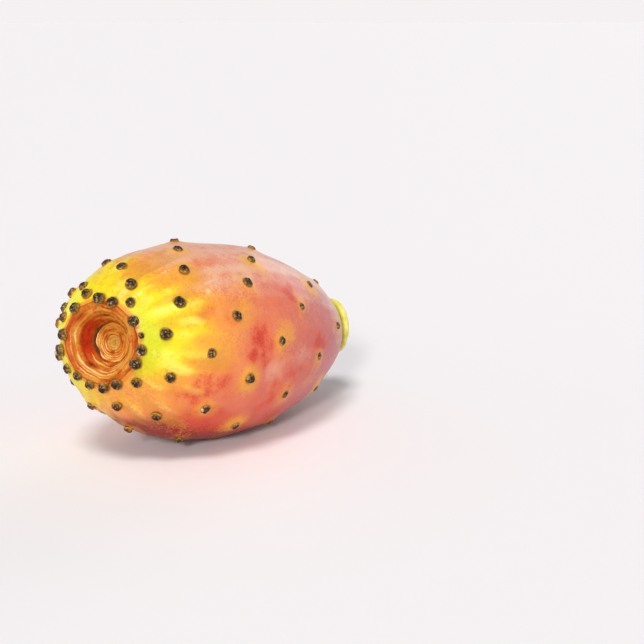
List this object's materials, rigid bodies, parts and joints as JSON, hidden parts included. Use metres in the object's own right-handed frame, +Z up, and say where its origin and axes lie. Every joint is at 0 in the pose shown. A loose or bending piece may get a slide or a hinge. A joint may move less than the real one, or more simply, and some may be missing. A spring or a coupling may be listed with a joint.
{
  "type": "prickly pear fruit",
  "caption": "Whole prickly pear fruit lying on its side: barrel body with a cupped floral scar, spiral felt pads and a scrap of pad at the stem end.",
  "frame": {"origin": "middle of the flat spot that the fruit rests on", "axes": "-X points from the stem end to the crown with the floral scar, +Z is up"},
  "size_m": [0.0928, 0.0519, 0.0525],
  "materials": {
    "fruit_skin": "waxy, softly glossy fruit skin",
    "pad_skin": "satin cactus pad skin, dried inside"
  },
  "bodies": {
    "root": {"fruit": "fruit_skin", "pad_scrap": "pad_skin"}
  },
  "joints": []
}
